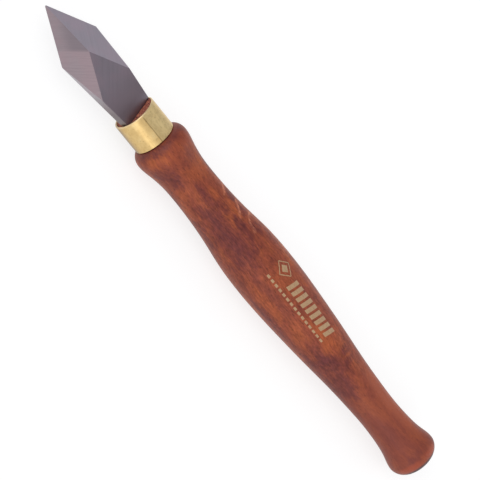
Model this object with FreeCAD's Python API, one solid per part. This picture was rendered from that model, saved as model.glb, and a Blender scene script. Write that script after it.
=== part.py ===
import FreeCAD, Part
import math
import os

# Lino cutter: a fixed-blade cutting knife for linoleum blocks.
# A flat-backed spear-point steel blade with two ground bevels is glued by its tang into a turned
# hardwood handle, and a short brass ferrule clamps the front end of the wood.
#
# Millimetres.  +X points to the blade tip, +Z is up on the bevelled side of the blade, +Y is left.
# The origin lies under the middle of the tool, on the table it rests on.
# Every "station" is a distance back along the tool's axis from the sharp point where the two
# cutting edges would meet; the real tip is rounded a little behind it.

# --- driving dimensions -------------------------------------------------------------------------
OVERALL_LENGTH = 194.8

# blade
BLADE_EXPOSED_LENGTH = 44.2
BLADE_THICKNESS = 2.85
BLADE_BACK_BELOW_AXIS = 0.56
BLADE_SHOULDER_STATION = 17.25
BLADE_SHOULDER_HALF_WIDTH = 9.25
BLADE_TAPER_PER_MM = 0.119
BLADE_POINT_RADIUS = 0.35
BLADE_SHOULDER_RADIUS = 0.5
RIDGE_END_STATION = 19.5
CUTTING_EDGE_LAND = 0.1
SEAT_END_STATION = 47.2
SEAT_BACK_RELIEF = 0.2

# tang
TANG_END_STATION = 99.0
TANG_POINT_LENGTH = 5.0
TANG_ROOT_WIDTH = 5.0
TANG_END_WIDTH = 3.0
TANG_END_THICKNESS = 2.0
TANG_POINT_SIZE = 0.8

# ferrule
FERRULE_OUTER_RADIUS = 7.0
FERRULE_WALL = 0.55
FERRULE_LENGTH = 10.8
FERRULE_RIM_RADIUS = 0.22

# handle
TENON_RECESS = 0.4
TENON_CHAMFER = 0.3
SHOULDER_GAP = 0.12
FRONT_CREST_STATION = 58.8
FRONT_CREST_RADIUS = 9.21
BELLY_STATION = 112.0
BELLY_RADIUS = 9.88
BUTT_CREST_STATION = 190.4
BUTT_CREST_RADIUS = 8.21
BUTT_FLAT_RADIUS = 2.4
FRONT_NECK_CURVE = [(64.0, 8.38), (69.0, 7.64), (75.0, 7.44), (84.0, 7.72), (92.0, 8.39), (100.0, 9.36)]
REAR_NECK_CURVE = [
    (120.0, 9.73), (132.0, 9.04), (144.0, 8.12), (156.0, 7.05), (165.0, 6.52), (173.0, 6.27),
    (180.0, 6.57), (186.0, 7.39),
]

# hollows in the handle
TANG_BORE_RADIUS = 3.0
TANG_BORE_END_STATION = 101.0
DRILL_POINT_LENGTH = 1.8
BLADE_KERF_END_STATION = 47.6
BLADE_KERF_CLEARANCE = 0.2
ADHESIVE_RECESS = 0.1

# how far a cutting shape is carried past the metal or wood that it removes
OVERCUT = 1.0
GRINDING_RUN_OUT = 20.0
CORNER_TOLERANCE = 0.01

# --- derived ------------------------------------------------------------------------------------
AXIS_HEIGHT = BELLY_RADIUS
BACK_Z = AXIS_HEIGHT - BLADE_BACK_BELOW_AXIS
FACE_Z = BACK_Z + BLADE_THICKNESS
FERRULE_BORE_RADIUS = FERRULE_OUTER_RADIUS - FERRULE_WALL
FERRULE_FRONT = BLADE_EXPOSED_LENGTH
FERRULE_BACK = FERRULE_FRONT + FERRULE_LENGTH
TENON_FRONT = FERRULE_FRONT + TENON_RECESS
SHOULDER_START = FERRULE_BACK + SHOULDER_GAP
POINT_HALF_ANGLE = math.atan2(BLADE_SHOULDER_HALF_WIDTH, BLADE_SHOULDER_STATION)
TIP_STATION = BLADE_POINT_RADIUS * (1.0 / math.sin(POINT_HALF_ANGLE) - 1.0)
BUTT_STATION = TIP_STATION + OVERALL_LENGTH
STATION_ZERO_X = OVERALL_LENGTH / 2.0 + TIP_STATION

FORWARD = FreeCAD.Vector(1, 0, 0)
BACKWARD = FreeCAD.Vector(-1, 0, 0)
TOOL_AXIS = (FreeCAD.Vector(0, 0, AXIS_HEIGHT), FORWARD)


def on_profile(station, radius):
    """A point of a turned profile: above the tool axis by the radius, at the given station."""
    return FreeCAD.Vector(STATION_ZERO_X - station, 0, AXIS_HEIGHT + radius)


def in_plan(station, side, z):
    """A point of the blade: sideways from the tool axis, at the given station and height."""
    return FreeCAD.Vector(STATION_ZERO_X - station, side, z)


def line(start, end):
    return Part.LineSegment(start, end).toShape()


def polygon_face(points):
    return Part.Face(Part.makePolygon(points + [points[0]]))


def turned(edges):
    """The solid of revolution of a closed profile about the tool axis."""
    outline = Part.Wire(Part.__sortEdges__(edges))
    return Part.Face(outline).revolve(TOOL_AXIS[0], TOOL_AXIS[1], 360)


def rod(radius, front, back):
    """A plain cylinder on the tool axis between two stations."""
    base = FreeCAD.Vector(STATION_ZERO_X - back, 0, AXIS_HEIGHT)
    return Part.makeCylinder(radius, back - front, base, FORWARD)


def quarter_ellipse(crest_station, crest_radius, end_station, end_radius):
    """Quarter of an ellipse, level at the crest and square to the axis at its end."""
    centre = on_profile(crest_station, end_radius)
    reach = crest_station - end_station
    rise = crest_radius - end_radius
    along = centre + FreeCAD.Vector(reach, 0, 0)
    up = centre + FreeCAD.Vector(0, 0, rise)
    if abs(reach) > rise:
        ellipse = Part.Ellipse(along, up, centre)
        return Part.ArcOfEllipse(ellipse, 0, math.pi / 2).toShape()
    ellipse = Part.Ellipse(up, along, centre)
    return Part.ArcOfEllipse(ellipse, 0, math.pi / 2).toShape()


def blade_half_width(station):
    return BLADE_SHOULDER_HALF_WIDTH - BLADE_TAPER_PER_MM * (station - BLADE_SHOULDER_STATION)


def blade_plan(back_station, z):
    """The spear-point outline of the blade, closed square at the given station."""
    half = blade_half_width(back_station)
    return [
        in_plan(0, 0, z),
        in_plan(BLADE_SHOULDER_STATION, BLADE_SHOULDER_HALF_WIDTH, z),
        in_plan(back_station, half, z),
        in_plan(back_station, -half, z),
        in_plan(BLADE_SHOULDER_STATION, -BLADE_SHOULDER_HALF_WIDTH, z),
    ]


def upright_edges_at(shape, station, side):
    """The vertical edges standing at one corner of the blade outline."""
    corner = in_plan(station, side, 0)
    found = []
    for edge in shape.Edges:
        ends = edge.Vertexes
        if len(ends) != 2:
            continue
        upright = abs(ends[0].Point.z - ends[1].Point.z) > BLADE_THICKNESS / 2.0
        at_corner = all(math.hypot(v.X - corner.x, v.Y - corner.y) < CORNER_TOLERANCE for v in ends)
        if upright and at_corner:
            found.append(edge)
    return found


def bevel_waste(side):
    """The metal ground away above one bevel; side is +1 for the left bevel, -1 for the right."""
    across = RIDGE_END_STATION * math.sin(POINT_HALF_ANGLE)
    slope = (BLADE_THICKNESS - CUTTING_EDGE_LAND) / across
    # the grinding plane runs along the cutting edge and climbs square to it
    edge_along = FreeCAD.Vector(-math.cos(POINT_HALF_ANGLE), side * math.sin(POINT_HALF_ANGLE), 0)
    inward = FreeCAD.Vector(-math.sin(POINT_HALF_ANGLE), -side * math.cos(POINT_HALF_ANGLE), 0)
    climb = inward + FreeCAD.Vector(0, 0, slope)
    edge_length = math.hypot(BLADE_SHOULDER_STATION, BLADE_SHOULDER_HALF_WIDTH)
    start = in_plan(0, 0, BACK_Z + CUTTING_EDGE_LAND) - edge_along * GRINDING_RUN_OUT
    outer = start - climb * GRINDING_RUN_OUT
    inner = start + climb * 2.0 * GRINDING_RUN_OUT
    above_outer = FreeCAD.Vector(outer.x, outer.y, inner.z)
    section = polygon_face([outer, inner, above_outer])
    return section.extrude(edge_along * (edge_length + 3.0 * GRINDING_RUN_OUT))


def make_blade():
    """Steel blade: flat back, two bevels on the face, a seat in the wood and a tapered tang."""
    body = polygon_face(blade_plan(BLADE_EXPOSED_LENGTH, BACK_Z)).extrude(
        FreeCAD.Vector(0, 0, BLADE_THICKNESS))
    body = body.makeFillet(BLADE_POINT_RADIUS, upright_edges_at(body, 0, 0))
    for side in (1, -1):
        corner = upright_edges_at(body, BLADE_SHOULDER_STATION, side * BLADE_SHOULDER_HALF_WIDTH)
        body = body.makeFillet(BLADE_SHOULDER_RADIUS, corner)
    body = body.cut(bevel_waste(1)).cut(bevel_waste(-1))

    # the seat keeps the width and the face of the blade but is relieved on the back
    seat_back = BACK_Z + SEAT_BACK_RELIEF
    front_half = blade_half_width(BLADE_EXPOSED_LENGTH)
    rear_half = blade_half_width(SEAT_END_STATION)
    seat = polygon_face([
        in_plan(BLADE_EXPOSED_LENGTH, front_half, seat_back),
        in_plan(SEAT_END_STATION, rear_half, seat_back),
        in_plan(SEAT_END_STATION, -rear_half, seat_back),
        in_plan(BLADE_EXPOSED_LENGTH, -front_half, seat_back),
    ]).extrude(FreeCAD.Vector(0, 0, BLADE_THICKNESS - SEAT_BACK_RELIEF))

    tang_middle = (seat_back + FACE_Z) / 2.0
    root_thickness = BLADE_THICKNESS - SEAT_BACK_RELIEF
    point_start = TANG_END_STATION - TANG_POINT_LENGTH
    spike = Part.makeLoft([
        tang_section(SEAT_END_STATION, TANG_ROOT_WIDTH, root_thickness, tang_middle),
        tang_section(point_start, TANG_END_WIDTH, TANG_END_THICKNESS, tang_middle),
    ], True, True)
    point = Part.makeLoft([
        tang_section(point_start, TANG_END_WIDTH, TANG_END_THICKNESS, tang_middle),
        tang_section(TANG_END_STATION, TANG_POINT_SIZE, TANG_POINT_SIZE, tang_middle),
    ], True, True)
    return body.fuse([seat, spike, point])


def tang_section(station, width, thickness, middle_z):
    """A rectangular cross-section of the tang."""
    low = middle_z - thickness / 2.0
    high = middle_z + thickness / 2.0
    corners = [
        in_plan(station, width / 2.0, low),
        in_plan(station, width / 2.0, high),
        in_plan(station, -width / 2.0, high),
        in_plan(station, -width / 2.0, low),
    ]
    return Part.makePolygon(corners + [corners[0]])


def make_ferrule():
    """Short drawn brass tube with softened rims."""
    outer = rod(FERRULE_OUTER_RADIUS, FERRULE_FRONT, FERRULE_BACK)
    outer = outer.makeFillet(FERRULE_RIM_RADIUS, [
        edge for edge in outer.Edges if isinstance(edge.Curve, Part.Circle)])
    return outer.cut(rod(FERRULE_BORE_RADIUS, FERRULE_FRONT - OVERCUT, FERRULE_BACK + OVERCUT))


def neck_curve(start, between, end):
    """A smooth turned curve through the given stations, level at both ends."""
    points = [on_profile(station, radius) for station, radius in [start] + between + [end]]
    curve = Part.BSplineCurve()
    curve.interpolate(Points=points, InitialTangent=BACKWARD, FinalTangent=BACKWARD)
    return curve.toShape()


def make_hollows():
    """The drilled tang bore and the sawn kerf that takes the root of the blade."""
    bore = rod(TANG_BORE_RADIUS, TENON_FRONT - OVERCUT, TANG_BORE_END_STATION)
    drill_base = FreeCAD.Vector(STATION_ZERO_X - TANG_BORE_END_STATION, 0, AXIS_HEIGHT)
    drill_point = Part.makeCone(TANG_BORE_RADIUS, 0, DRILL_POINT_LENGTH, drill_base, BACKWARD)
    low = BACK_Z + SEAT_BACK_RELIEF - BLADE_KERF_CLEARANCE
    high = FACE_Z + BLADE_KERF_CLEARANCE
    span = 2.0 * FERRULE_OUTER_RADIUS
    kerf_corner = FreeCAD.Vector(STATION_ZERO_X - BLADE_KERF_END_STATION, -span / 2.0, low)
    kerf_length = BLADE_KERF_END_STATION - TENON_FRONT + OVERCUT
    kerf = Part.makeBox(kerf_length, span, high - low, kerf_corner)
    return bore.fuse([drill_point, kerf])


def make_handle():
    """Turned hardwood handle with a tenon under the ferrule, two necks and a flared, domed butt."""
    front_crest = (FRONT_CREST_STATION, FRONT_CREST_RADIUS)
    belly = (BELLY_STATION, BELLY_RADIUS)
    butt_crest = (BUTT_CREST_STATION, BUTT_CREST_RADIUS)
    tenon_radius = FERRULE_BORE_RADIUS
    centre_front = on_profile(TENON_FRONT, 0)
    centre_back = on_profile(BUTT_STATION, 0)
    tenon_face_edge = on_profile(TENON_FRONT, tenon_radius - TENON_CHAMFER)
    tenon_side_front = on_profile(TENON_FRONT + TENON_CHAMFER, tenon_radius)
    tenon_side_back = on_profile(SHOULDER_START, tenon_radius)
    blank = turned([
        line(centre_front, tenon_face_edge),
        line(tenon_face_edge, tenon_side_front),
        line(tenon_side_front, tenon_side_back),
        quarter_ellipse(*front_crest, SHOULDER_START, tenon_radius),
        neck_curve(front_crest, FRONT_NECK_CURVE, belly),
        neck_curve(belly, REAR_NECK_CURVE, butt_crest),
        quarter_ellipse(*butt_crest, BUTT_STATION, BUTT_FLAT_RADIUS),
        line(on_profile(BUTT_STATION, BUTT_FLAT_RADIUS), centre_back),
        line(centre_back, centre_front),
    ])
    return blank.cut(make_hollows())


def make_adhesive(blade):
    """Cured epoxy filling the bore and the kerf around the tang."""
    inside_ferrule = rod(FERRULE_BORE_RADIUS, TENON_FRONT + ADHESIVE_RECESS, BLADE_KERF_END_STATION)
    drilled_end = TANG_BORE_END_STATION + DRILL_POINT_LENGTH
    behind = rod(FERRULE_BORE_RADIUS, BLADE_KERF_END_STATION, drilled_end + OVERCUT)
    return make_hollows().common(inside_ferrule.fuse(behind)).cut(blade)


def export(shape, node):
    """Write one part, cleaned of seams left by the joining, as a STEP file."""
    clean = shape.removeSplitter()
    solid = clean.Solids[0]
    print(node, "solids", len(clean.Solids), "valid", clean.isValid(), "mm3", round(clean.Volume, 1))
    solid.exportStep("parts/" + node + ".step")


os.makedirs("parts", exist_ok=True)
blade = make_blade()
export(blade, "blade")
export(make_ferrule(), "ferrule")
export(make_handle(), "handle")
export(make_adhesive(blade), "tang_adhesive")
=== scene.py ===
import math

import bmesh
import bpy
import numpy as np
from mathutils import Matrix, Vector, noise


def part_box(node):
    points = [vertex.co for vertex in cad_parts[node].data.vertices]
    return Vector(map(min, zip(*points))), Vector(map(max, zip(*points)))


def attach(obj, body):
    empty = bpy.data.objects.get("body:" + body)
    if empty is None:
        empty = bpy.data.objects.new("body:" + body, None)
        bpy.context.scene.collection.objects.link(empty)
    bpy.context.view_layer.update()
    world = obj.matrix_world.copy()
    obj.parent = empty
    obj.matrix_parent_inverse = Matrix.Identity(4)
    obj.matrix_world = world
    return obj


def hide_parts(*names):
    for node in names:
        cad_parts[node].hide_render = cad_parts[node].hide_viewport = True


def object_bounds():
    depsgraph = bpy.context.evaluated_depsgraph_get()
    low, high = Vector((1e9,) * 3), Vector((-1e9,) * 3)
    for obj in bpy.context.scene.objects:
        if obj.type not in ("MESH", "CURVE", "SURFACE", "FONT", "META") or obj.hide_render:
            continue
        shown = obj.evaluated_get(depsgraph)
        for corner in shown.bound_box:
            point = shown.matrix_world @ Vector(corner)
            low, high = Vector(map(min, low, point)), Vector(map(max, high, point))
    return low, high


# Looks for the lino cutter.  Metres, in the row frame: +X to the blade tip, +Z out of the bevelled
# face, the table at z = 0.  A "station" is a distance in mm back from the sharp point of the blade,
# and a "roll" is an angle round the tool from straight up, turning towards -Y.

MM = 0.001

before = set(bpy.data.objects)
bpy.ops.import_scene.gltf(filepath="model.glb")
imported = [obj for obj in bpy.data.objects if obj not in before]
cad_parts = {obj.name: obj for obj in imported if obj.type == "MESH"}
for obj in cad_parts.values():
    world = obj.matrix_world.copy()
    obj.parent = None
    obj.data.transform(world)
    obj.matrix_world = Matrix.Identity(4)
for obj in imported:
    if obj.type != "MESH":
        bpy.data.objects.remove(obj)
cad_low, cad_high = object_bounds()

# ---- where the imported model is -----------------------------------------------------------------
FERRULE_LOW, FERRULE_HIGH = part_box("ferrule")
BLADE_LOW, BLADE_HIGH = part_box("blade")
AXIS_Z = (FERRULE_LOW.z + FERRULE_HIGH.z) / 2
FERRULE_RADIUS = (FERRULE_HIGH.z - FERRULE_LOW.z) / 2 / MM
FERRULE_FRONT = 44.2
FERRULE_BACK = FERRULE_FRONT + (FERRULE_HIGH.x - FERRULE_LOW.x) / MM
STATION_ZERO_X = FERRULE_HIGH.x + FERRULE_FRONT * MM
BUTT_STATION = (STATION_ZERO_X - cad_low.x) / MM
BACK_Z = BLADE_LOW.z
FACE_Z = BLADE_HIGH.z


def x_at(station):
    return STATION_ZERO_X - station * MM


# ---- meshes ------------------------------------------------------------------------------------
def add_piece(name, verts, faces, material):
    mesh = bpy.data.meshes.new(name)
    mesh.from_pydata([tuple(v) for v in verts], [], faces)
    mesh.validate()
    mesh.shade_smooth()
    piece = bpy.data.objects.new(name, mesh)
    bpy.context.scene.collection.objects.link(piece)
    piece.data.materials.append(material)
    return piece


def around(roll, radius):
    """Offset (y, z) from the tool axis at a roll in radians."""
    return -math.sin(roll) * radius, math.cos(roll) * radius


def turned_surface(profile, segments, closed=False):
    """Vertices and faces of a profile of (station, radius in mm) turned about the tool axis."""
    verts, faces = [], []
    for station, radius in profile:
        for k in range(segments):
            y, z = around(2 * math.pi * k / segments, radius * MM)
            verts.append((x_at(station), y, AXIS_Z + z))
    rings = len(profile)
    for i in range(rings if closed else rings - 1):
        j = (i + 1) % rings
        for k in range(segments):
            m = (k + 1) % segments
            faces.append((i * segments + k, j * segments + k, j * segments + m, i * segments + m))
    return verts, faces


def quarter_round(station, radius, along, out, steps):
    """Points of a quarter ellipse, from (station + along, radius) to (station, radius + out)."""
    turns = [math.pi / 2 * k / steps for k in range(steps + 1)]
    return [(station + along * math.cos(t), radius + out * math.sin(t)) for t in turns]


def level_spline(points, station):
    """Radius at a station on the cubic through (station, radius) points, level at both ends."""
    x, r = np.array(points).T
    h = np.diff(x)
    n = len(x)
    system = np.zeros((n, n))
    right = np.zeros(n)
    system[0, 0] = system[-1, -1] = 1
    for i in range(1, n - 1):
        system[i, i - 1 : i + 2] = h[i], 2 * (h[i - 1] + h[i]), h[i - 1]
        right[i] = 3 * (h[i] * (r[i] - r[i - 1]) / h[i - 1] + h[i - 1] * (r[i + 1] - r[i]) / h[i])
    slope = np.linalg.solve(system, right)
    i = min(max(int(np.searchsorted(x, station, side="right")) - 1, 0), n - 2)
    u = (station - x[i]) / h[i]
    return (
        (2 * u**3 - 3 * u**2 + 1) * r[i] + (u**3 - 2 * u**2 + u) * h[i] * slope[i]
        + (3 * u**2 - 2 * u**3) * r[i + 1] + (u**3 - u**2) * h[i] * slope[i + 1]
    )


# The turned wood, as (station, radius).
FRONT_CREST = (58.8, 9.21)
FRONT_NECK = [(64.0, 8.38), (69.0, 7.64), (75.0, 7.44), (84.0, 7.72), (92.0, 8.39), (100.0, 9.36)]
BELLY = (112.0, 9.88)
REAR_NECK = [
    (120.0, 9.73), (132.0, 9.04), (144.0, 8.12), (156.0, 7.05), (165.0, 6.52), (173.0, 6.27),
    (180.0, 6.57), (186.0, 7.39),
]
BUTT_CREST = (190.4, 8.21)
BUTT_FLAT_RADIUS = 2.4
BUTT_FLAT_RINGS = (1.8, 1.2, 0.6, 0.05)
TENON_RADIUS = 6.45
TENON_FRONT = FERRULE_FRONT + 0.4
TENON_HIDDEN_LIP = 0.6
SHOULDER_GAP = 0.12
SURFACE_INSET = 0.016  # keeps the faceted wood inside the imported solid
SHOULDER_STEPS, BODY_STEPS, BUTT_STEPS = 24, 261, 32
WOOD_SEGMENTS, BRASS_SEGMENTS = 224, 192


def handle_radius(station):
    """Radius of the turned wood between the two crests, in mm."""
    if station < BELLY[0]:
        return level_spline([FRONT_CREST] + FRONT_NECK + [BELLY], station)
    return level_spline([BELLY] + REAR_NECK + [BUTT_CREST], station)


def handle_profile():
    shoulder_start = FERRULE_BACK + SHOULDER_GAP
    points = [(TENON_FRONT + TENON_HIDDEN_LIP, TENON_RADIUS), (shoulder_start, TENON_RADIUS)]
    points += quarter_round(
        FRONT_CREST[0], TENON_RADIUS, shoulder_start - FRONT_CREST[0],
        FRONT_CREST[1] - TENON_RADIUS, SHOULDER_STEPS)[1:]
    between = np.linspace(FRONT_CREST[0], BUTT_CREST[0], BODY_STEPS + 1)[1:]
    points += [(station, handle_radius(station)) for station in between]
    butt = quarter_round(
        BUTT_CREST[0], BUTT_FLAT_RADIUS, BUTT_STATION - BUTT_CREST[0],
        BUTT_CREST[1] - BUTT_FLAT_RADIUS, BUTT_STEPS)
    points += butt[-2::-1]
    points += [(BUTT_STATION, radius) for radius in BUTT_FLAT_RINGS]
    return [(s, r - SURFACE_INSET if r > TENON_RADIUS else r) for s, r in points]


# ---- shader helper -----------------------------------------------------------------------------
class Graph:
    """Adds nodes to one material and joins their sockets.  Places are mm from the tool axis."""

    def __init__(self, name):
        self.material = bpy.data.materials.new(name)
        self.material.use_nodes = True
        self.tree = self.material.node_tree
        self.shader = self.tree.nodes["Principled BSDF"]
        place = self.add("ShaderNodeTexCoord").outputs["Object"]
        self.mm = self.vector("MULTIPLY_ADD", place, (1000, 1000, 1000), (0, 0, -AXIS_Z * 1000))
        self.x, self.y = self.split(self.mm)[:2]

    def add(self, kind, **settings):
        node = self.tree.nodes.new(kind)
        for key, value in settings.items():
            setattr(node, key, value)
        return node

    def put(self, socket, value):
        if isinstance(value, bpy.types.NodeSocket):
            self.tree.links.new(value, socket)
        elif value is not None:
            if hasattr(value, "__len__") and len(value) == 3 and socket.type == "RGBA":
                value = (*value, 1)
            socket.default_value = value

    def math(self, operation, a, b=None, c=None):
        node = self.add("ShaderNodeMath", operation=operation)
        for socket, value in zip(node.inputs, (a, b, c)):
            self.put(socket, value)
        return node.outputs[0]

    def times(self, first, *others):
        for value in others:
            first = self.math("MULTIPLY", first, value)
        return first

    def vector(self, operation, a, b=None, c=None):
        node = self.add("ShaderNodeVectorMath", operation=operation)
        for socket, value in zip(node.inputs, (a, b, c)):
            self.put(socket, value)
        return node.outputs[1] if operation in ("LENGTH", "DOT_PRODUCT") else node.outputs[0]

    def turn(self, angles):
        """The place, rotated by Euler angles in degrees."""
        node = self.add("ShaderNodeMapping")
        node.inputs["Rotation"].default_value = [math.radians(a) for a in angles]
        self.put(node.inputs["Vector"], self.mm)
        return node.outputs[0]

    def noise(self, vector, scale, detail=3, rough=0.5, shift=(0, 0, 0), colour=False):
        """Noise from 0 to 1; the scale is in waves per mm along each axis."""
        node = self.add("ShaderNodeTexNoise")
        self.put(node.inputs["Vector"], self.vector("MULTIPLY_ADD", vector, scale, shift))
        node.inputs["Scale"].default_value = 1
        node.inputs["Detail"].default_value = detail
        node.inputs["Roughness"].default_value = rough
        return node.outputs["Color" if colour else "Fac"]

    def centred(self, value, swing):
        """A noise value moved to the range from -swing to +swing."""
        return self.math("MULTIPLY_ADD", value, 2 * swing, -swing)

    def shaken(self, noise_colour, swing):
        """The place, moved by a coloured noise by up to the swing along each axis."""
        twice = [2 * s for s in swing]
        moved = self.vector("MULTIPLY_ADD", noise_colour, twice, [-s for s in swing])
        return self.vector("ADD", self.mm, moved)

    def ramp(self, value, stops):
        node = self.add("ShaderNodeValToRGB")
        elements = node.color_ramp.elements
        while len(elements) < len(stops):
            elements.new(0.5)
        for element, (place, colour) in zip(elements, stops):
            element.position = place
            if not hasattr(colour, "__len__"):
                colour = (colour, colour, colour)
            element.color = (*colour, 1)
        self.put(node.inputs["Fac"], value)
        return node.outputs["Color"]

    def level(self, value, low, high, to_low=0.0, to_high=1.0):
        """A smooth step of the value, from to_low at low to to_high at high."""
        node = self.add("ShaderNodeMapRange", interpolation_type="SMOOTHSTEP")
        limits = zip(("From Min", "From Max", "To Min", "To Max"), (low, high, to_low, to_high))
        for key, number in limits:
            node.inputs[key].default_value = number
        self.put(node.inputs["Value"], value)
        return node.outputs["Result"]

    def along(self, start, end, at_start=0.0, at_end=1.0):
        """A smooth step along the tool, between two stations."""
        return self.level(self.x, x_at(start) / MM, x_at(end) / MM, at_start, at_end)

    def mix(self, share, a, b, blend="MIX"):
        node = self.add("ShaderNodeMix", data_type="RGBA", blend_type=blend)
        self.put(node.inputs["Factor"], share)
        self.put(node.inputs[6], a)
        self.put(node.inputs[7], b)
        return node.outputs[2]

    def split(self, vector):
        node = self.add("ShaderNodeSeparateXYZ")
        self.put(node.inputs[0], vector)
        return node.outputs

    def bump(self, height, distance, strength):
        """Height in units of the given distance in mm."""
        node = self.add("ShaderNodeBump")
        node.inputs["Strength"].default_value = strength
        node.inputs["Distance"].default_value = distance * MM
        self.put(node.inputs["Height"], height)
        return node.outputs[0]

    def finish(self, **sockets):
        for key, value in sockets.items():
            self.put(self.shader.inputs[key.replace("_", " ")], value)
        return self.material


def linear(red, green, blue):
    """Linear colour of an sRGB triple from 0 to 255."""
    def one(value):
        share = value / 255
        return share / 12.92 if share <= 0.04045 else ((share + 0.055) / 1.055) ** 2.4
    return one(red), one(green), one(blue)


# ---- wood --------------------------------------------------------------------------------------
# Patches of stain, as (station, roll in degrees, radius, half length, half width).
CLOUD_EDGE, CLOUD_CORE = 1.15, 0.45  # shares of the half sizes where a patch is absent and full
DARK_CLOUDS = [
    # the first patch, on the shoulder just behind the ferrule, is painted shade
    (55.4, -48.0, 8.6, 2.8, 4.5), (63.1, -75.0, 8.5, 3.5, 2.8), (65.0, -60.0, 8.2, 6.0, 3.0),
    (77.6, -27.5, 7.5, 6.5, 2.0), (83.5, 32.0, 7.8, 2.6, 2.2), (84.0, -12.0, 7.9, 4.0, 3.0),
    (88.0, -92.0, 8.1, 7.0, 2.8), (89.2, 23.0, 8.3, 3.2, 2.2), (91.2, -7.5, 8.4, 5.0, 2.4),
    (93.0, -46.0, 8.5, 15.0, 7.5), (96.2, 20.0, 8.9, 3.8, 2.2), (100.0, -18.0, 9.4, 3.0, 1.8),
    (122.0, -88.0, 9.6, 10.0, 2.2), (144.2, -90.0, 8.1, 7.0, 2.8), (146.0, 0.0, 8.0, 1.8, 2.0),
    (146.4, -53.0, 8.0, 7.0, 4.6), (148.2, -50.0, 7.9, 5.6, 4.6), (149.5, -9.0, 7.6, 1.7, 2.7),
    (155.4, -63.0, 7.0, 9.0, 5.0), (189.2, -34.0, 8.0, 2.6, 3.6),
    # on the side that the photograph doesn't show
    (70.0, 60.0, 7.6, 9.0, 4.0), (88.0, -150.0, 8.0, 15.0, 6.0), (118.0, 120.0, 9.8, 16.0, 6.0),
    (160.0, 170.0, 6.8, 14.0, 5.0),
]
DEEP_CLOUDS = [
    (91.5, -8.0, 8.4, 4.5, 1.5), (145.5, -52.0, 8.1, 5.0, 3.4), (155.5, -62.0, 7.0, 7.0, 2.6),
]
BRIGHT_CLOUDS = [
    (68.9, -8.0, 7.6, 4.5, 4.8), (73.5, -67.0, 7.4, 3.8, 1.8), (78.4, -10.6, 7.5, 3.0, 2.2),
    (87.8, 10.7, 8.0, 5.5, 2.4), (117.0, -12.0, 9.8, 10.0, 4.0), (119.0, -72.0, 9.7, 10.5, 3.2),
    (141.5, -5.0, 8.4, 4.8, 4.2),
    (95.0, 170.0, 8.6, 12.0, 5.0), (135.0, 100.0, 8.8, 12.0, 5.0),
]
# where a painted sheen lies on the upper right of the rear of the handle
PAINTED_REAR_SHEEN = (170.0, 24.0, 6.4, 18.0, 3.8)
RUBBED_CLOUDS = [
    (191.2, -58.0, 8.0, 4.0, 5.0), (191.2, 8.0, 8.0, 4.0, 3.4), (191.2, 130.0, 8.0, 4.0, 6.0),
]
# Light lines of figure, as (station, roll in degrees) along each.
FIGURE_LINES = [
    [(79.3, 45.0), (80.3, 30.0), (81.5, 15.6)],
    [(86.0, 37.0), (87.8, 20.0), (90.2, 5.3)],
    [(92.4, 42.0), (92.5, 23.0), (94.0, 14.6), (96.8, 6.5)],
]
FIGURE_HALF_WIDTH = 0.80
# Stretches of the handle, as the stations where each is absent and where it is full.
SHOULDER_SHADE = (57.8, 55.9)
CREST_START, CREST_END = (58.0, 59.5), (65.0, 61.0)
FRONT_CALM, REAR_CALM = (76.0, 66.0), (155.0, 168.0)
REAR_DULL = (144.0, 172.0)
RUBBED_START, RUBBED_END = (189.6, 191.2), (193.2, 192.2)
END_GRAIN_AND_SHADE, FLAT_END = (192.7, 193.4), (194.3, 194.7)


def surface_place(station, roll, radius):
    """A point in the shaders' mm, at a station, a roll in degrees and a radius."""
    y, z = around(math.radians(roll), radius)
    return x_at(station) / MM, y, z


def cloud(g, station, roll, radius, length, width, wobble):
    """A soft patch round a place on the wood: 1 in its middle, 0 outside, with a ragged edge."""
    from_centre = g.vector("SUBTRACT", g.mm, surface_place(station, roll, radius))
    reach = g.vector("MULTIPLY", from_centre, (1 / length, 1 / width, 1 / width))
    return g.level(g.math("ADD", g.vector("LENGTH", reach), wobble), CLOUD_EDGE, CLOUD_CORE)


def all_clouds(g, places, wobble):
    total = 0.0
    for place in places:
        total = g.math("MAXIMUM", total, cloud(g, *place, wobble))
    return total


def distance_to_line(g, place, points):
    """Distance in mm from a bent line through (station, roll) points on the turned surface."""
    ends = [Vector(surface_place(s, roll, handle_radius(s))) for s, roll in points]
    nearest = None
    for start, end in zip(ends, ends[1:]):
        line = end - start
        from_start = g.vector("SUBTRACT", place, start)
        share = g.vector("DOT_PRODUCT", from_start, line / line.length_squared)
        share = g.math("MINIMUM", g.math("MAXIMUM", share, 0.0), 1.0)
        off = g.vector("LENGTH", g.vector("SUBTRACT", from_start, g.vector("MULTIPLY", share, line)))
        nearest = off if nearest is None else g.math("MINIMUM", nearest, off)
    return nearest


def wood_figure(g):
    """A few light lines where the growth rings meet the turned surface at a shallow slope."""
    place = g.shaken(g.noise(g.mm, (0.5, 0.5, 0.5), 3, 0.5, (7, 7, 7), colour=True), (0.8, 0.8, 0.8))
    total = 0.0
    for points in FIGURE_LINES:
        line = g.level(distance_to_line(g, place, points), FIGURE_HALF_WIDTH, 0.0)
        total = g.math("MAXIMUM", total, line)
    broken = g.level(g.noise(g.mm, (0.5, 1.2, 1.2), 3, 0.6, (2, 0, 5)), 0.30, 0.62, 0.25, 1.0)
    fading = g.level(g.y, -0.6, -3.0, 0.50, 1.0)
    return g.times(total, g.times(broken, fading))


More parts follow.
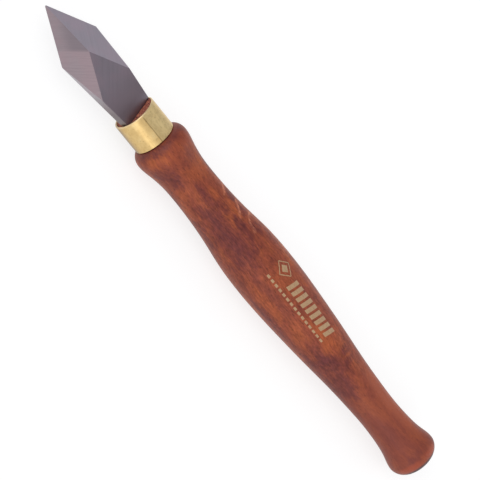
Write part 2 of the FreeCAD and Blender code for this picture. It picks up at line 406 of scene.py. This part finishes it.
def wood_colour(g):
    """Stained red-brown hardwood: returns its colour, where its pores are, and its streaks."""
    grain = g.shaken(g.noise(g.mm, (0.03, 0.07, 0.07), 2, colour=True), (0, 3, 3))

    tone = g.noise(grain, (0.08, 0.24, 0.24), 3, 0.55, (3.1, 0, 7.3))
    colour = g.ramp(tone, [
        (0.32, linear(117, 56, 44)), (0.50, linear(138, 68, 47)), (0.68, linear(159, 82, 48)),
    ])
    ragged = g.centred(g.noise(g.mm, (0.17, 0.40, 0.40), 5, 0.68, (11, 4, 0)), 1.1)
    bright = all_clouds(g, BRIGHT_CLOUDS, ragged)
    colour = g.mix(g.times(bright, 0.50), colour, linear(164, 84, 49))
    speck = g.level(g.noise(grain, (0.5, 1.2, 1.2), 4, 0.66, (5, 2, 9)), 0.38, 0.60, 0.52, 1.0)
    dark = all_clouds(g, DARK_CLOUDS, ragged)
    colour = g.mix(g.times(dark, speck, 0.70), colour, linear(90, 41, 45))
    deep = all_clouds(g, DEEP_CLOUDS, g.times(ragged, 0.5))
    colour = g.mix(g.times(deep, 0.38), colour, linear(84, 38, 44))

    calm = g.math("MAXIMUM", g.along(*FRONT_CALM), g.along(*REAR_CALM))
    lively = g.math("MULTIPLY_ADD", calm, -0.35, 1.0)
    mottle = g.noise(grain, (0.7, 1.2, 1.2), 3, 0.6)
    mottle = g.ramp(mottle, [(0.30, 0.82), (0.5, 1.0), (0.70, 1.18)])
    colour = g.mix(lively, colour, mottle, "MULTIPLY")
    streak = g.noise(grain, (0.34, 2.2, 2.2), 3, 0.6, (0, 9, 2))
    streaks = g.ramp(streak, [(0.30, 0.75), (0.5, 1.0), (0.70, 1.22)])
    colour = g.mix(lively, colour, streaks, "MULTIPLY")
    colour = g.mix(g.times(wood_figure(g), 0.85), colour, linear(198, 122, 92))

    pore = g.level(g.noise(grain, (0.55, 2.6, 2.6), 2, 0.5, (5, 1, 8)), 0.60, 0.70)
    colour = g.mix(g.times(pore, 0.55), colour, linear(72, 32, 28))
    return colour, pore, streak


def stained_and_shaded_ends(g, colour):
    """The wood's colour with what turning, staining and wear did to the ends of the handle, and with
    painted shade and a painted sheen there.
    """
    blotch = g.noise(g.mm, (0.3, 0.3, 0.3), 4, 0.6, (2, 2, 2))
    wobble = g.centred(blotch, 0.3)
    # painted shade on the steep shoulder just behind the ferrule; the turned crest behind it is paler
    shoulder = g.times(g.along(*SHOULDER_SHADE), g.level(blotch, 0.3, 0.6, 0.45, 1.0), 0.48)
    colour = g.mix(shoulder, colour, linear(86, 40, 42))
    crest = g.times(g.along(*CREST_START), g.along(*CREST_END), 0.12)
    colour = g.mix(crest, colour, linear(166, 80, 50))
    # the last stretch is duller, with a painted sheen on its upper right
    colour = g.mix(g.times(g.along(*REAR_DULL), 0.55), colour, linear(122, 62, 52))
    pale = g.times(cloud(g, *PAINTED_REAR_SHEEN, wobble), 0.60)
    colour = g.mix(pale, colour, linear(166, 86, 58))
    # the rubbed edge of the butt, where the stain is thin, and the darker end, partly stained end
    # grain and partly painted shade
    worn = g.math("MULTIPLY_ADD", all_clouds(g, RUBBED_CLOUDS, wobble), 0.36, 0.08)
    rubbed = g.times(g.along(*RUBBED_START), g.along(*RUBBED_END), worn)
    colour = g.mix(rubbed, colour, linear(176, 84, 56))
    end = g.times(g.along(*END_GRAIN_AND_SHADE, 0.0, 0.92), g.along(*FLAT_END, 1.0, 0.45))
    return g.mix(end, colour, linear(64, 34, 36))


def wood_material():
    g = Graph("lacquered_hardwood")
    colour, pore, streak = wood_colour(g)
    colour = stained_and_shaded_ends(g, colour)
    # painted shade on the side of the handle towards +Y and painted light on the side towards -Y
    outward = g.split(g.vector("NORMALIZE", g.vector("MULTIPLY", g.mm, (0, 1, 1))))[1]
    side = g.times(g.level(outward, 0.72, 1.0, 1.0, 0.89), g.level(g.y, -4.5, 0.0, 1.13, 1.0))
    colour = g.vector("MULTIPLY", colour, side)
    fine = g.noise(g.mm, (0.7, 6, 6), 3, 0.6)
    height = g.math("SUBTRACT", g.times(fine, 0.25), g.times(pore, 0.8))
    return g.finish(
        Base_Color=colour,
        Roughness=g.level(streak, 0.3, 0.7, 0.56, 0.44),
        Specular_IOR_Level=0.10,
        Coat_Weight=0.20,
        Coat_Roughness=0.32,
        Coat_IOR=1.45,
        Normal=g.bump(height, 0.03, 0.6),
    )


def end_grain_material():
    g = Graph("raw_end_grain")
    speckle = g.noise(g.mm, (0.8, 1.7, 1.7), 4, 0.7)
    colour = g.ramp(speckle, [
        (0.34, linear(78, 38, 34)), (0.47, linear(138, 70, 54)), (0.58, linear(170, 98, 74)),
        (0.70, linear(222, 170, 128)),
    ])
    fibre = g.noise(g.mm, (1, 5, 5), 3, 0.7, (4, 4, 4))
    return g.finish(Base_Color=colour, Roughness=0.85, Normal=g.bump(fibre, 0.15, 0.9))


# ---- steel -------------------------------------------------------------------------------------
BEVEL_GRIND = 44.6               # degrees from the tool axis to the grinding marks of a bevel
FACE_GRIND = 48.0
EDGE_ANGLE = math.radians(28.2)  # from the tool axis to the left cutting edge
RIDGE_END = 19.5                 # station where the ridge between the bevels ends
# stretches of the blade, as the stations where the shade near the wood starts and ends
FACE_ROOT, FACE_ROOT_END = (27.0, 43.0), (40.5, 44.0)
SIDE_ROOT = (24.0, 43.0)


def steel_material(name, tint, roughness, grind_angle, contrast, shade=None):
    """Ground tool steel; the grinding marks run at an angle to the tool axis, in degrees."""
    g = Graph(name)
    along = g.turn((0, 0, -grind_angle))
    marks = g.noise(along, (0.12, 4.0, 0.2), 3, 0.7)
    coarse = g.noise(along, (0.05, 1.1, 0.1), 2, 0.5, (2, 5, 1))
    haze = g.noise(g.mm, (0.16, 0.16, 0.16), 3, 0.6, (8, 3, 1))
    swing = 0.09 * contrast
    colour = g.ramp(coarse, [
        (0.32, [c * (1 - swing) for c in tint]), (0.68, [c * (1 + swing) for c in tint]),
    ])
    warm = [tint[0] * 1.05, tint[1] * 0.97, tint[2] * 0.98]
    colour = g.mix(g.level(haze, 0.38, 0.62, 0.0, 0.8), colour, warm)
    colour = g.mix(g.level(marks, 0.38, 0.68, 0.0, 0.5 * contrast), colour, [c * 0.8 for c in tint])
    if shade is not None:
        share, darker = shade(g)
        colour = g.mix(share, colour, [c * d for c, d in zip(tint, darker)])
    rough = g.math("ADD", g.level(haze, 0.3, 0.7, roughness - 0.04, roughness + 0.05),
                   g.level(marks, 0.3, 0.7, -0.03, 0.03))
    height = g.math("ADD", marks, g.times(coarse, 0.4))
    normal = g.bump(height, 0.012, 0.4 * contrast)
    return g.finish(Base_Color=colour, Metallic=1.0, Roughness=rough, Normal=normal)


def ridge_shade(g):
    """The second pass of the wheel on the left bevel: the front of it is darker, most of all beside
    the ridge, up to the grinding mark through the end of the ridge."""
    behind = g.vector("MULTIPLY_ADD", g.mm, (-1, 1, 1), (x_at(0) / MM, 0, 0))
    across_edge = (math.sin(EDGE_ANGLE), -math.cos(EDGE_ANGLE), 0)
    from_edge = g.vector("DOT_PRODUCT", behind, across_edge)
    grind = math.radians(BEVEL_GRIND)
    past_mark = g.math("SUBTRACT",
                       g.vector("DOT_PRODUCT", behind, (math.sin(grind), math.cos(grind), 0)),
                       RIDGE_END * math.sin(grind))
    share = g.times(g.level(from_edge, 1.2, 5.2, 0.22, 0.70), g.level(past_mark, 0.7, -0.7))
    return share, (0.60, 0.64, 0.66)


def root_shade(g):
    """Painted shade and a painted brown reflection of the wood on the face of the blade, towards the
    wood.
    """
    share = g.times(g.along(*FACE_ROOT, 0.0, 0.9), g.along(*FACE_ROOT_END, 1.0, 0.0))
    return share, (0.74, 0.68, 0.66)


def side_root_shade(g):
    """Painted shade and a painted reflection of the wood's colour on the narrow sides, just ahead of
    the ferrule.
    """
    return g.along(*SIDE_ROOT, 0.0, 0.9), (0.42, 0.38, 0.36)


# ---- other materials ---------------------------------------------------------------------------
DRAW_LINE_ROLL = 22.0            # degrees from straight up to the draw line, towards +Y
DRAW_LINE_START = (44.4, 45.6)   # stations where the line is faint and where it is full
LIP_HIGHLIGHT = (44.75, 44.45)      # stations between which the rim turns brighter


def brass_material():
    """Drawn brass tube, with a fine draw line down the top and a rougher side beyond it that is
    painted paler, with painted shade on its low side and a painted highlight along its front rim.
    """
    g = Graph("satin_brass")
    y, z = g.split(g.turn((DRAW_LINE_ROLL, 0, 0)))[1:]
    stain = g.noise(g.mm, (0.35, 0.35, 0.35), 4, 0.6)
    drawn = g.noise(g.mm, (0.10, 3.0, 3.0), 3, 0.6, (3, 0, 0))
    colour = g.ramp(stain, [
        (0.30, linear(204, 172, 115)), (0.55, linear(217, 187, 129)), (0.75, linear(226, 199, 144)),
    ])
    upper = g.level(z, 0.0, 1.5)
    # painted light: the side beyond the draw line is painted paler and greyer; it is also rougher and
    # a little more tarnished
    rough_side_painted_paler = g.times(g.level(y, 0.10, -0.15), g.level(y, -6.9, -5.2), upper)
    colour = g.mix(g.times(rough_side_painted_paler, g.level(stain, 0.3, 0.6, 0.7, 1.0)), colour, linear(228, 204, 150))
    # painted shade on the low side of the tube
    low = g.times(g.level(z, 3.6, -0.8, 0.0, 0.95), g.level(y, 0.0, 3.0))
    colour = g.mix(low, colour, linear(138, 116, 86))
    beside = g.times(rough_side_painted_paler, g.level(y, -2.4, -0.5, 0.0, 0.30))
    colour = g.mix(beside, colour, linear(150, 124, 78))

    wander = g.centred(g.noise(g.mm, (0.5, 0.1, 0.1), 2, 0.5, (9, 0, 0)), 0.15)
    off_line = g.math("ABSOLUTE", g.math("ADD", y, wander))
    line = g.times(g.level(off_line, 0.26, 0.08), upper, g.along(*DRAW_LINE_START, 0.15, 1.0))
    colour = g.mix(g.times(line, 0.55), colour, linear(120, 94, 52))

    tarnish = g.level(g.noise(g.mm, (0.9, 0.9, 0.9), 4, 0.7, (1, 7, 3)), 0.46, 0.66)
    tarnish = g.times(tarnish, g.math("MULTIPLY_ADD", rough_side_painted_paler, 0.14, 0.08))
    colour = g.mix(tarnish, colour, linear(132, 108, 66))
    pit = g.level(g.noise(g.mm, (1.3, 1.3, 1.3), 2, 0.5, (6.3, 2.0, 1.0)), 0.62, 0.72)
    colour = g.mix(g.times(pit, 0.3), colour, linear(110, 88, 56))
    colour = g.mix(g.level(drawn, 0.52, 0.72, 0.0, 0.22), colour, linear(176, 150, 100))
    # painted highlight along the front rim
    colour = g.mix(g.times(g.along(*LIP_HIGHLIGHT), 0.45), colour, linear(236, 212, 172))

    rough = g.math("ADD", g.level(drawn, 0.3, 0.7, 0.30, 0.38), g.times(rough_side_painted_paler, 0.10))
    height = g.math("SUBTRACT", g.times(drawn, 0.5), g.math("ADD", pit, line))
    return g.finish(
        Base_Color=colour, Metallic=1.0, Roughness=rough, Normal=g.bump(height, 0.012, 0.5),
    )


def epoxy_material():
    g = Graph("cured_epoxy")
    mist = g.noise(g.mm, (0.8, 0.8, 0.8), 3, 0.6)
    colour = g.ramp(mist, [(0.3, linear(58, 34, 20)), (0.7, linear(96, 58, 30))])
    return g.finish(Base_Color=colour, Roughness=0.3, Normal=g.bump(mist, 0.05, 0.4))


def ink_material():
    g = Graph("printed_ink")
    wear = g.noise(g.mm, (1.1, 3.0, 3.0), 4, 0.7)
    colour = g.ramp(wear, [
        (0.30, linear(142, 98, 70)), (0.42, linear(164, 130, 95)), (0.7, linear(175, 145, 108)),
    ])
    return g.finish(Base_Color=colour, Roughness=0.42, Normal=g.bump(wear, 0.02, 0.4))


def floor_material():
    """A pale sweep that gives off a little light, so that shadows on it stay faint."""
    g = Graph("pale_floor")
    mist = g.noise(g.mm, (0.004, 0.004, 0.004), 3, 0.5)
    return g.finish(
        Base_Color=g.ramp(mist, [(0.3, 0.30), (0.7, 0.32)]),
        Roughness=0.9,
        Specular_IOR_Level=0.0,
        Emission_Color=(1, 1, 1),
        Emission_Strength=0.73,
    )


# ---- pieces ------------------------------------------------------------------------------------
def make_handle(material):
    verts, faces = turned_surface(handle_profile(), WOOD_SEGMENTS)
    piece = add_piece("turned_handle", verts, faces, material)
    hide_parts("handle")
    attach(piece, "root")


TENON_STEPS = 150
RIM_REACH = 0.12          # how far past the tenon's edge a grid point may be, to be drawn in to it
KERF_HALF_WIDTH = 5.95
KERF_DEPTH = 1.6
KERF_STEEPNESS = 22
KERF_GAP = 0.02           # between the steel and the wood
CHIP_DEPTH = 0.25         # further gap where the edge of the kerf is chipped
SAW_ROUGHNESS = 0.12
SAW_SLOPE = 0.048


def tenon_height(y, z):
    """Height in mm of the sawn end, with its kerf, at a place in mm from the tool axis."""
    middle = ((BACK_Z + FACE_Z) / 2 - AXIS_Z) / MM
    thick = (FACE_Z - BACK_Z) / MM / 2
    ragged = noise.fractal(Vector((y * 1.1, z * 1.1, 3.0)), 0.6, 2.1, 5)
    chipped = noise.noise(Vector((y * 0.9, 1.0 if z > middle else 5.0, 0)))
    gap = KERF_GAP + CHIP_DEPTH * max(0.0, chipped)
    outside = max(abs(z - middle) - thick - gap, abs(y) - KERF_HALF_WIDTH)
    fall = KERF_DEPTH / (1 + math.exp(outside * KERF_STEEPNESS))
    return SAW_ROUGHNESS * ragged + SAW_ROUGHNESS - SAW_SLOPE * y - fall


def make_tenon_end(material):
    """Sawn end of the tenon inside the ferrule, with the kerf that the blade is glued into."""
    verts, faces, index = [], [], {}
    for i in range(TENON_STEPS + 1):
        for j in range(TENON_STEPS + 1):
            y = TENON_RADIUS * (2 * i / TENON_STEPS - 1)
            z = TENON_RADIUS * (2 * j / TENON_STEPS - 1)
            out = math.hypot(y, z)
            if out > TENON_RADIUS + RIM_REACH:
                continue
            if out > TENON_RADIUS:
                y, z = y * TENON_RADIUS / out, z * TENON_RADIUS / out
            index[i, j] = len(verts)
            verts.append((x_at(TENON_FRONT) + tenon_height(y, z) * MM, y * MM, AXIS_Z + z * MM))
    for i in range(TENON_STEPS):
        for j in range(TENON_STEPS):
            corners = [index.get(c) for c in ((i, j), (i + 1, j), (i + 1, j + 1), (i, j + 1))]
            if None not in corners:
                faces.append(corners[::-1])
    piece = add_piece("tenon_end", verts, faces, material)
    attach(piece, "root")


FERRULE_WALL = 0.55
FERRULE_RIM = 0.3         # radius of the rounded rims
MOUTH_CHAMFER = 0.1
BARREL_MARGIN = 0.5       # from each end of the tube to the first and last ring of its barrel
RIM_STEPS, BARREL_RINGS = 6, 24


def make_ferrule(material):
    inner = FERRULE_RADIUS - FERRULE_WALL
    rim = FERRULE_RADIUS - FERRULE_RIM
    profile = [(FERRULE_FRONT + MOUTH_CHAMFER, inner), (FERRULE_FRONT, inner + MOUTH_CHAMFER)]
    profile += quarter_round(FERRULE_FRONT + FERRULE_RIM, rim, -FERRULE_RIM, FERRULE_RIM, RIM_STEPS)
    barrel = np.linspace(FERRULE_FRONT + BARREL_MARGIN, FERRULE_BACK - BARREL_MARGIN, BARREL_RINGS)
    profile += [(station, FERRULE_RADIUS) for station in barrel]
    back = quarter_round(FERRULE_BACK - FERRULE_RIM, rim, FERRULE_RIM, FERRULE_RIM, RIM_STEPS)
    profile += back[::-1]
    profile.append((FERRULE_BACK, inner))
    verts, faces = turned_surface(profile, BRASS_SEGMENTS, closed=True)
    piece = add_piece("ferrule_tube", verts, faces, material)
    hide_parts("ferrule")
    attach(piece, "root")


FACE, LEFT_BEVEL, RIGHT_BEVEL, SIDE, BACK = range(5)


def facet_of(normal):
    """Which finish of the blade a face with this normal has."""
    if normal.z > 0.99:
        return FACE
    if normal.z > 0.8 and abs(normal.y) > 0.1:
        return LEFT_BEVEL if normal.y > 0 else RIGHT_BEVEL
    return BACK if normal.z < -0.9 else SIDE


def make_blade(finishes):
    """The ground blade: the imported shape, with each of its facets given its own finish."""
    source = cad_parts["blade"]
    shape = bmesh.new()
    shape.from_mesh(source.data)
    bmesh.ops.remove_doubles(shape, verts=shape.verts, dist=0.002 * MM)
    bmesh.ops.dissolve_limit(
        shape, angle_limit=math.radians(1.0), verts=shape.verts, edges=shape.edges)
    for face in shape.faces:
        face.smooth = False
        face.material_index = facet_of(face.normal)
    mesh = bpy.data.meshes.new("ground_blade")
    shape.to_mesh(mesh)
    shape.free()
    piece = bpy.data.objects.new("ground_blade", mesh)
    bpy.context.scene.collection.objects.link(piece)
    for facet in sorted(finishes):
        mesh.materials.append(finishes[facet])
    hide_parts("blade")
    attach(piece, "root")


# The printed mark is laid out in mm, as (along the tool, across it), from this place.
MARK_STATION = 108.4
MARK_ROLL = math.radians(-7.0)
MARK_RADIUS = 9.7         # turns mm across into an angle
MARK_CELL = 0.35          # longest side of a mesh cell
INK_SINK = 0.003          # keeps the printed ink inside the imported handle
LOZENGE_CENTRE = (3.3, 1.7)
LOZENGE_OUTLINE, LOZENGE_FILLED, LOZENGE_LINE = (3.3, 2.6), (1.7, 1.35), 0.3
BAR_COUNT, BAR_START, BAR_PITCH, BAR_WIDTH = 9, 7.8, 2.5, 1.55
BAR_LOW, BAR_HEIGHT, BAR_LEAN = -1.95, 4.4, 1.2
DASH_COUNT, DASH_START, DASH_PITCH, DASH_LENGTH = 15, 0.6, 2.0, 1.25
DASH_WIDTH, DASH_ACROSS = 0.8, -3.9


def surface_point(station, roll, lift):
    """A point in metres, lifted in mm off the turned wood."""
    y, z = around(roll, (handle_radius(station) + lift) * MM)
    return x_at(station), y, AXIS_Z + z


def mark_strip(a, b, width):
    """Corners of a strip from a to b."""
    a, b = Vector(a), Vector(b)
    side = Vector((-(b - a).y, (b - a).x)).normalized() * width / 2
    return a + side, b + side, b - side, a - side


def lozenge(length, height):
    """Corners of a lozenge of the given half length and half height."""
    along, across = LOZENGE_CENTRE
    return [Vector(p) for p in (
        (along - length, across), (along, across + height), (along + length, across),
        (along, across - height))]


def slanted_bar(left):
    """Corners of one bar that leans along the tool."""
    right, top = left + BAR_WIDTH, BAR_LOW + BAR_HEIGHT
    return [Vector(p) for p in (
        (left, BAR_LOW), (right, BAR_LOW), (right + BAR_LEAN, top), (left + BAR_LEAN, top))]


def mark_shapes():
    """Four-cornered shapes of the mark: a lozenge, slanted bars and a row of dashes."""
    outline = lozenge(*LOZENGE_OUTLINE)
    shapes = [mark_strip(outline[k], outline[(k + 1) % 4], LOZENGE_LINE) for k in range(4)]
    shapes.append(lozenge(*LOZENGE_FILLED))
    shapes += [slanted_bar(BAR_START + BAR_PITCH * k) for k in range(BAR_COUNT)]
    for k in range(DASH_COUNT):
        start = DASH_START + DASH_PITCH * k
        shapes.append(mark_strip((start, DASH_ACROSS), (start + DASH_LENGTH, DASH_ACROSS), DASH_WIDTH))
    return shapes


def make_mark(material):
    """A plain printed device with no lettering, draped on the wood."""
    verts, faces = [], []
    for a, b, c, d in mark_shapes():
        rows = max(2, int((b - a).length / MARK_CELL))
        columns = max(2, int((d - a).length / MARK_CELL))
        first = len(verts)
        for i in range(rows + 1):
            for j in range(columns + 1):
                u, v = i / rows, j / columns
                p = a * (1 - u) * (1 - v) + b * u * (1 - v) + c * u * v + d * (1 - u) * v
                verts.append(surface_point(
                    MARK_STATION + p.x, MARK_ROLL + p.y / MARK_RADIUS, -INK_SINK))
        for i in range(rows):
            for j in range(columns):
                k = first + i * (columns + 1) + j
                faces.append((k, k + 1, k + columns + 2, k + columns + 1))
    piece = add_piece("printed_mark", verts, faces, material)
    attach(piece, "root")


make_handle(wood_material())
make_tenon_end(end_grain_material())
make_ferrule(brass_material())
make_blade({
    FACE: steel_material("steel_face", (0.27, 0.235, 0.275), 0.36, -FACE_GRIND, 0.5, root_shade),
    LEFT_BEVEL: steel_material(
        "steel_left_bevel", (0.400, 0.325, 0.350), 0.40, BEVEL_GRIND, 0.8, ridge_shade),
    RIGHT_BEVEL: steel_material(
        "steel_right_bevel", (0.48, 0.435, 0.505), 0.40, -BEVEL_GRIND, 0.4),
    SIDE: steel_material("steel_sides", (0.44, 0.41, 0.44), 0.45, 0.0, 0.6, side_root_shade),
    BACK: steel_material("steel_back", (0.42, 0.40, 0.43), 0.34, 0.0, 0.8),
})
make_mark(ink_material())
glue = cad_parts["tang_adhesive"]
glue.data.materials.clear()
glue.data.materials.append(epoxy_material())

# ---- floor, light, camera ----------------------------------------------------------------------
FLOOR_HALF = 6.0
floor_corners = [(FLOOR_HALF * i, FLOOR_HALF * j, 0) for i, j in ((-1, -1), (1, -1), (1, 1), (-1, 1))]
floor = add_piece("floor", floor_corners, [(0, 1, 2, 3)], floor_material())

BRIGHT_SIDE = (0.1, 0.87, 0.48)  # direction in which the studio is brightest
WORLD_RANGE = {"From Min": -0.1, "From Max": 0.95, "To Min": 0.50, "To Max": 1.06}
WORLD_COLOUR = (0.98, 0.98, 1.0, 1)


def make_world():
    """Soft studio surroundings, brighter on one side."""
    world = bpy.data.worlds.new("studio")
    world.use_nodes = True
    tree = world.node_tree
    place = tree.nodes.new("ShaderNodeTexCoord")
    facing = tree.nodes.new("ShaderNodeVectorMath")
    facing.operation = "DOT_PRODUCT"
    facing.inputs[1].default_value = Vector(BRIGHT_SIDE).normalized()
    tree.links.new(place.outputs["Generated"], facing.inputs[0])
    fall = tree.nodes.new("ShaderNodeMapRange")
    fall.interpolation_type = "SMOOTHSTEP"
    for key, number in WORLD_RANGE.items():
        fall.inputs[key].default_value = number
    tree.links.new(facing.outputs["Value"], fall.inputs["Value"])
    shader = tree.nodes["Background"]
    shader.inputs["Color"].default_value = WORLD_COLOUR
    tree.links.new(fall.outputs["Result"], shader.inputs["Strength"])
    bpy.context.scene.world = world


def soft_light(name, toward, distance, size, power):
    """A square panel seen from the middle of the tool in the given direction."""
    lamp = bpy.data.lights.new(name, "AREA")
    lamp.shape = "SQUARE"
    lamp.size = size
    lamp.energy = power
    panel = bpy.data.objects.new(name, lamp)
    bpy.context.scene.collection.objects.link(panel)
    direction = Vector(toward).normalized()
    panel.location = Vector((0, 0, AXIS_Z)) + direction * distance
    panel.rotation_mode = "QUATERNION"
    panel.rotation_quaternion = direction.to_track_quat("Z", "Y")
    panel.visible_camera = False


CAMERA_TILT = 22.03      # degrees off square to the tool, towards the blade tip
CAMERA_ROLL = 32.14      # degrees round the tool from straight above, towards +Y
TOOL_ON_PICTURE = 50.82  # degrees that the tool slopes down to the right in the picture
CAMERA_DISTANCE = 1.5
LENS = 367.6
AIM_STATION = 98.345
AIM_ACROSS = 0.577 * MM


def make_camera():
    tilt, roll, slope = (math.radians(a) for a in (CAMERA_TILT, CAMERA_ROLL, TOOL_ON_PICTURE))
    back = Vector((math.sin(tilt), math.cos(tilt) * math.sin(roll), math.cos(tilt) * math.cos(roll)))
    to_butt = (Vector((-1, 0, 0)) + back * back.x).normalized()
    across = back.cross(to_butt)
    right = to_butt * math.cos(slope) + across * math.sin(slope)
    up = across * math.cos(slope) - to_butt * math.sin(slope)
    camera = bpy.data.objects.new("camera", bpy.data.cameras.new("camera"))
    bpy.context.scene.collection.objects.link(camera)
    camera.data.lens = LENS
    camera.data.clip_start, camera.data.clip_end = 0.1, 20
    place = Vector((x_at(AIM_STATION), 0, AXIS_Z)) + across * AIM_ACROSS + back * CAMERA_DISTANCE
    camera.matrix_world = Matrix.Translation(place) @ Matrix((right, up, back)).transposed().to_4x4()
    bpy.context.scene.camera = camera


make_world()
# name, direction from the tool, distance and size in metres, power in watts
soft_light("key", (0.75, 0.30, 0.70), 1.4, 1.1, 5.5)
soft_light("band", (-0.375, 0.82, 0.43), 1.4, 0.75, 1.3)
soft_light("fill", (-0.85, -0.60, 0.45), 1.4, 1.1, 4)
make_camera()
bpy.context.scene.view_settings.view_transform = "Standard"
